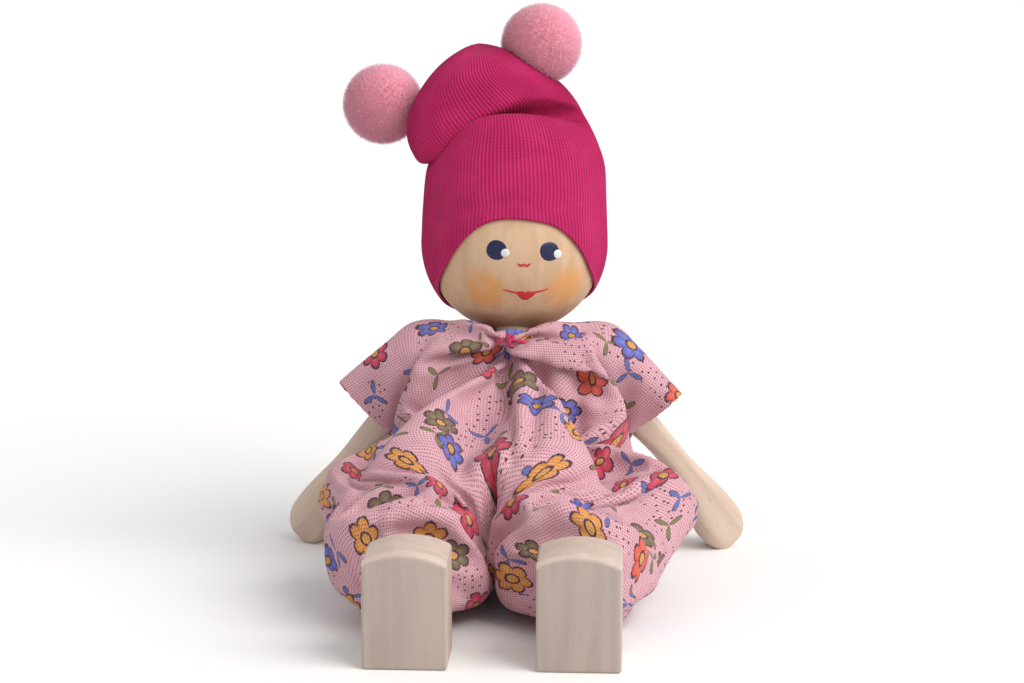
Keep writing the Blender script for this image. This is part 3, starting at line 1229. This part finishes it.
def settledRomper():
    flat, side, faces = sewPanels()
    scale, stage = sitting["scale"], bpy.context.scene
    axes = Matrix(((1, 0, 0), spineBack, spineUp)).transposed()
    hip = np.array((0, *joints["hip_left"]["pos_m"][1:]))
    start = standingShape(flat, side) * mm @ np.array(axes).T + hip
    mesh = bpy.data.meshes.new("cloth")
    mesh.from_pydata((start * scale).tolist(), [], faces)
    cloth = placed("cloth", mesh)
    cloth.shape_key_add(name="start")
    lying = cloth.shape_key_add(name="lying")
    lying.value = 0
    spread = np.stack([flat[:, 0], np.zeros(len(flat)), -flat[:, 1]], 1) * mm * scale
    lying.data.foreach_set("co", spread.astype(np.float32).ravel())
    out, down = np.abs(flat[:, 0]), flat[:, 1]
    low, high = pattern["neckBand"]
    neck = (down > low) & (down < high) & (out < pattern["neckHalf"])
    low, high = pattern["ankleBand"]
    ankle = (down > low) & (down < high)
    pickPoints(cloth, "pin", (neck | ankle).astype(float))
    slack = np.where(flat[:, 0] < 0, *sitting["legSlack"])
    puff = smoothStep(*sitting["puffed"], down) * (1 - slack * smoothStep(*sitting["legs"], down))
    sleeves = sitting["sleevePuff"] * smoothStep(*sitting["sleeveOut"], out) * smoothStep(*sitting["sleeveDown"], down)
    pickPoints(cloth, "puff", np.clip(puff + sleeves, 0, 1))
    solids, hips = sittingSolids(axes)
    upright = Quaternion((1, 0, 0), math.radians(sitting["standing"])).to_matrix().to_4x4()
    for word, sign in sides.items():
        pickPoints(cloth, "ankle_" + word, (ankle & (flat[:, 0] * sign > 0)).astype(float))
        hook = cloth.modifiers.new("ankle", "HOOK")
        hook.object, hook.vertex_group = hips[word], "ankle_" + word
        hook.matrix_inverse = (Matrix.Translation(hips[word].location) @ upright).inverted()
    clothSettings(cloth, lying)
    for moment in range(1, sitting["frames"] + 1):
        stage.frame_set(moment)
    settled = readPoints(cloth.evaluated_get(bpy.context.evaluated_depsgraph_get()).data) / scale
    for thing in [cloth, *solids]:
        bpy.data.objects.remove(thing)
    for action in list(bpy.data.actions):
        bpy.data.actions.remove(action)
    stage.frame_set(1)
    print("cloth settled", len(settled))
    return settled, faces, flat


def dressRomper():
    points, faces, flat = settledRomper()
    material = cottonMaterial()
    whole = meshPiece("romper", points, [tuple(int(i) for i in reversed(f)) for f in faces], material)
    corners = readArray(whole.data.loops, "vertex_index", kind=int)
    uv = flat[corners] * mm
    uv[len(corners) // 2:] += pattern["backPrint"]
    whole.data.uv_layers.new(name="pattern").data.foreach_set("uv", uv.ravel())
    for label, values in zip(("across", "down"), flat.T):
        kept = whole.data.attributes.new(label, "FLOAT", "POINT")
        kept.data.foreach_set("value", values.astype(np.float32))
    finer = whole.modifiers.new("finer", "SUBSURF")
    finer.levels = finer.render_levels = 1
    settle(whole)
    points = keepClear(pressFolds(whole.data), 0.3 * mm, 2.5 * mm)
    whole.data.vertices.foreach_set("co", points.astype(np.float32).ravel())
    whole.data.update()
    return whole, material


# Folds that the drawn neck and the crotch pull into the front: path in pixels, width in pixels, depth in millimetres
romperFolds = [
    ([(500, 376), (505, 400), (509, 436), (513, 462)], 6.5, 1.7),
    ([(540, 368), (538, 390), (535, 415), (531, 446)], 6.5, 1.6),
    ([(588, 362), (583, 382), (577, 402), (577, 430)], 7.5, 1.3),
    ([(452, 372), (462, 400), (476, 434)], 11.0, 0.6),
    ([(494, 372), (497, 410), (502, 448)], 8.0, -0.6),
    ([(521, 366), (521, 410), (521, 450)], 8.0, -0.7),
    ([(556, 372), (553, 410), (546, 452)], 9.0, -0.6),
    ([(330, 511), (372, 505), (420, 497), (462, 505)], 7.5, 1.5),
    ([(538, 500), (583, 479), (625, 470), (664, 464)], 7.5, 1.6),
    ([(350, 524), (420, 515), (470, 522)], 9.0, -0.9),
    ([(560, 505), (610, 494), (665, 484)], 9.0, -1.0),
]


def pressFolds(mesh):
    # Only cloth that faces the camera and lies on the outside is pressed, and then it is ironed a little.
    mesh.update()
    points, normals = readPoints(mesh), readNormals(mesh)
    facing = smoothStep(0.0, 0.4, normals @ np.array(viewBack))
    seen = inPicture(points)
    shift = np.zeros(len(points))
    for path, width, depth in romperFolds:
        fine = throughPoints(path, 10)
        away = np.min(np.linalg.norm(seen[:, None] - fine[None], axis=2), axis=1)
        shift += np.exp(-(away / width) ** 2) * facing * depth * mm
    return ironed(mesh, points - normals * shift[:, None], 3)


def ironed(mesh, points, rounds):
    edges = readArray(mesh.edges, "vertices", 2, int)
    count = np.bincount(edges.ravel(), minlength=len(points))[:, None]
    for _ in range(rounds):
        total = np.zeros_like(points)
        np.add.at(total, edges[:, 0], points[edges[:, 1]])
        np.add.at(total, edges[:, 1], points[edges[:, 0]])
        points = points * 0.5 + total / count * 0.5
    return points


def keepClear(points, gap, search):
    # No cloth inside the wood: points too near a solid move out to its surface and a little more.
    for name in ("torso_block", "arm_left", "arm_right", "leg_left", "leg_right", "head_ball"):
        mesh = nodes[name].data
        tree = BVHTree.FromPolygons([v.co for v in mesh.vertices], [tuple(f.vertices) for f in mesh.polygons])
        for k, point in enumerate(points):
            place, normal, _, far = tree.find_nearest(Vector(point), search)
            if place is not None and (far < gap or (Vector(point) - place).dot(normal) < 0):
                points[k] = place + normal * gap
    return points


def readNormals(mesh):
    return readArray(mesh.vertex_normals, "vector", 3).astype(float)


def readFloats(mesh, label):
    return readArray(mesh.attributes[label].data, "value")


# Where the garment is cut into pieces that follow the limbs, in millimetres: directions away from the torso, and how
# far along them from the shoulder, or from the middle of the frame, the cloth starts and stops changing body
cuts = {
    "sleeveTop": 20, "underarm": (25.5, 23.2), "sleeveAway": (0.905, 0.335, -0.25), "sleeveBlend": (6.5, 11.5),
    "waist": 28, "legAway": (0.447, -0.844, -0.298), "legBlend": (7.2, 18.5), "overlap": 0.3,
}


def cutRomper(whole, material):
    mesh = whole.data
    points = readPoints(mesh)
    across, down = readFloats(mesh, "across"), readFloats(mesh, "down")
    corners = np.array([tuple(p.vertices) + (p.vertices[-1],) * (4 - len(p.vertices)) for p in mesh.polygons])
    middle, side, depth = points[corners].mean(1), across[corners].mean(1), down[corners].mean(1)
    owner = np.zeros(len(corners), int)
    plans = {}
    for number, (word, sign) in enumerate(sides.items()):
        # a sleeve begins at a line from the shoulder to the underarm, and a trouser leg beyond the crotch
        line = cuts["sleeveTop"] + (cuts["underarm"][0] - cuts["sleeveTop"]) * depth / cuts["underarm"][1]
        shoulder = Vector(joints["shoulder_" + word]["pos_m"])
        away = Vector((sign * cuts["sleeveAway"][0], *cuts["sleeveAway"][1:])).normalized()
        owner[(side * sign > line) & (depth < cuts["underarm"][1])] = 1 + number
        start, end = (shoulder + away * far * mm for far in cuts["sleeveBlend"])
        plans[1 + number] = ("sleeve_" + word, "arm_" + word, start, end)
        away = Vector((sign * cuts["legAway"][0], *cuts["legAway"][1:])).normalized()
        start, end = (away * far * mm for far in cuts["legBlend"])
        beyond = (points @ np.array(away) / mm > cuts["legBlend"][0] - cuts["overlap"])[corners].all(1)
        owner[beyond & (side * sign > 0) & (depth > cuts["waist"])] = 3 + number
        plans[3 + number] = ("trouser_" + word, "leg_" + word, start, end)
    normals = readNormals(mesh)
    uv = readArray(mesh.uv_layers["pattern"].data, "uv", 2)
    for number in range(5):
        name, body, start, end = plans.get(number, ("body", "torso", None, None))
        picked = np.where(owner == number)[0]
        piece = thickPiece("cotton_" + name, mesh, picked, points, normals, uv, material)
        if start is None:
            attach(piece, "torso")
        else:
            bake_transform(piece)
        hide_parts("romper_" + ("bodice" if number == 0 else name))
    bpy.data.objects.remove(whole)


def thickPiece(name, mesh, picked, points, normals, uv, material):
    # Two faces and a rim, with the whole garment's normals so that no seam shows where it is cut.
    polygons = [list(mesh.polygons[p].vertices) for p in picked]
    loops = [list(mesh.polygons[p].loop_indices) for p in picked]
    used = sorted({i for ring in polygons for i in ring})
    order = {i: k for k, i in enumerate(used)}
    count = len(used)
    half = cotton["thick"] * mm / 2
    outer, inner = points[used] + normals[used] * half, points[used] - normals[used] * half
    faces, faceUv = [], []
    seen = {}
    for ring, corner in zip(polygons, loops):
        faces.append([order[i] for i in ring])
        faceUv.append(uv[corner])
        faces.append([order[i] + count for i in reversed(ring)])
        faceUv.append(uv[list(reversed(corner))])
        for a, b, ca, cb in zip(ring, ring[1:] + ring[:1], corner, corner[1:] + corner[:1]):
            seen[(a, b)] = (ca, cb)
    for (a, b), (ca, cb) in seen.items():
        if (b, a) not in seen:
            faces.append([order[b], order[a], order[a] + count, order[b] + count])
            faceUv.append(uv[[cb, ca, ca, cb]])
    piece = meshPiece(name, np.concatenate([outer, inner]), faces, material)
    layer = piece.data.uv_layers.new(name="pattern").data
    layer.foreach_set("uv", np.concatenate(faceUv).astype(np.float32).ravel())
    shown = np.concatenate([normals[used], -normals[used]])
    piece.data.normals_split_custom_set_from_vertices([tuple(n) for n in shown])
    return piece


# Threads: two plies twisted together, drawn tight through the cloth
thread = {
    "radius": 0.28, "pitch": 1.1, "colour": (0.66, 0.07, 0.17), "dark": (0.40, 0.03, 0.09), "around": 8,
    "ring": (1.3, 2.8), "neckSteps": 150, "ankleSteps": 110, "neckLift": 0.3, "ankleLift": 0.25,
    # the knot: tilt and lift of each turn, its two half widths, and the cut ends' way out and droop in tail lengths
    "turns": ((0.5, 0.0), (-0.6, 0.15), (0.0, -0.1)), "turnSize": (0.75, 0.5), "turnSteps": 28, "tail": 2.6,
    "tails": (((-0.85, -0.12, 0.12), (-0.1, 0.1, -0.3)), ((0.8, -0.15, 0.05), (0.25, 0.05, -0.12))),
    # how far the neck's ring looks for gathers above, below and beside it, and how far it may move out
    "gathers": (9, 14), "lookUp": 0.45, "lookAside": 0.5, "clear": 0.3, "moveMost": 2.2,
}


def threadMaterial():
    material, tree, shader = newMaterial("pinkThread")
    fibre = noise(tree, objectPlace(tree), 6000.0)
    feed(tree, shader, {"Base Color": mixColour(tree, fibre, thread["dark"], thread["colour"]), "Roughness": 0.7})
    return material


def twistedTube(path, closed, radius):
    # Points and faces of two plies that wind round a path.
    path = np.array(path, float)
    count, around = len(path), thread["around"]
    ahead = np.roll(path, -1, axis=0) - np.roll(path, 1, axis=0) if closed else np.gradient(path, axis=0)
    ahead /= np.linalg.norm(ahead, axis=1)[:, None]
    along = np.concatenate([[0], np.cumsum(np.linalg.norm(np.diff(path, axis=0), axis=1))])
    total = along[-1] + (np.linalg.norm(path[0] - path[-1]) if closed else 0)
    turns = max(1, round(total / (thread["pitch"] * mm)))
    side = np.cross(ahead, np.array(spineUp) if closed else np.array((0.3, 0.9, 0.2)))
    side /= np.linalg.norm(side, axis=1)[:, None]
    up = np.cross(side, ahead)
    verts, faces = [], []
    for ply in range(2):
        twist = 2 * np.pi * turns * along / total + np.pi * ply
        middle = path + (side * np.cos(twist)[:, None] + up * np.sin(twist)[:, None]) * radius * 0.48
        first = len(verts)
        for k in range(around):
            turn = 2 * np.pi * k / around
            verts += [tuple(v) for v in middle + (side * math.cos(turn) + up * math.sin(turn)) * radius * 0.56]
            low, high = first + k * count, first + (k + 1) % around * count
            for i in range(count if closed else count - 1):
                after = (i + 1) % count
                faces.append((low + i, low + after, high + after, high + i))
    return verts, faces


def loopPath(points, axis, out, count, grow):
    # A smooth closed path through scattered points of a ring, in order of their turn.
    axis, out, middle = np.array(axis), np.array(out), points.mean(0)
    across = np.cross(axis, out)
    away = points - middle
    turn, radius = np.arctan2(away @ across, away @ out), np.hypot(away @ across, away @ out)
    made = []
    for at in 2 * np.pi * np.arange(count) / count:
        near = np.exp(-(((turn - at + np.pi) % (2 * np.pi) - np.pi) / 0.16) ** 2)
        near /= near.sum()
        r = radius @ near + grow
        made.append(middle + out * r * math.cos(at) + across * r * math.sin(at) + axis * (away @ axis @ near))
    return np.array(made)


def overGathers(path, cloth, middle):
    # The path moved outwards until the cloth at its own height lies inside it.
    axis, away = np.array(spineUp), cloth - middle
    made = []
    for place in path:
        out = place - middle
        out -= axis * (out @ axis)
        far = np.linalg.norm(out)
        out /= far
        level = np.abs((cloth - place) @ axis) < thread["lookUp"] * mm
        beside = np.abs(away @ np.cross(axis, out)) < thread["lookAside"] * mm
        near = (away @ out)[level & beside & (away @ out > 0)]
        reach = max([far, *(near + thread["clear"] * mm)])
        made.append(place + out * min(reach - far, thread["moveMost"] * mm))
    made = np.array(made)
    for _ in range(3):
        made = made * 0.5 + (np.roll(made, 1, axis=0) + np.roll(made, -1, axis=0)) * 0.25
    return made


def knotPaths(front):
    # Short turns over the thread, which close, and two cut ends, which don't
    wide, deep = thread["turnSize"]
    turn = 2 * np.pi * np.arange(thread["turnSteps"])[:, None] / thread["turnSteps"]
    for k, (tilt, lift) in enumerate(thread["turns"]):
        along = np.array((math.cos(tilt), 0, math.sin(tilt)))
        out = np.array((0.25 * (k - 1), -1.0, 0.1))
        ring = np.cross(along, out) * np.sin(turn) * wide + out * np.cos(turn) * deep + along * lift
        yield front + ring * mm, True, 0.9
    t = np.linspace(0, 1, 14)[:, None]
    for away, droop in thread["tails"]:
        bent = np.array(away) * t * (1 - 0.3 * t) + np.array(droop) * t * t
        yield front + bent * thread["tail"] * mm, False, 0.8


def drawThreads(points, across, down):
    material, radius = threadMaterial(), thread["radius"] * mm
    low, high = thread["ring"]
    ring = points[(down > low) & (down < high) & (np.abs(across) < pattern["neckHalf"])]
    path = loopPath(ring, spineUp, -np.array(spineBack), thread["neckSteps"], thread["neckLift"] * mm)
    low, wide = thread["gathers"]
    path = overGathers(path, points[(down < low) & (np.abs(across) < wide)], ring.mean(0))
    verts, faces = twistedTube(path, True, radius)
    for turns, closed, thinner in knotPaths(path[0] - np.array(spineBack) * 0.15 * mm):
        more, moreFaces = twistedTube(turns, closed, radius * thinner)
        faces += [tuple(i + len(verts) for i in f) for f in moreFaces]
        verts += more
    finished(meshPiece("neckThread", verts, faces, material), "torso", "neck_thread")
    low, high = pattern["ankleBand"]
    for word, sign in sides.items():
        ring = points[(down > low) & (down < high) & (across * sign > 0)]
        path = loopPath(ring, (0, 1, 0), (0, 0, 1), thread["ankleSteps"], thread["ankleLift"] * mm)
        ankle = meshPiece("ankleThread_" + word, *twistedTube(path, True, radius), material)
        finished(ankle, "leg_" + word, "ankle_thread_" + word)


whole, cottonCloth = dressRomper()
drawThreads(readPoints(whole.data), readFloats(whole.data, "across"), readFloats(whole.data, "down"))
cutRomper(whole, cottonCloth)
print("romper dressed")
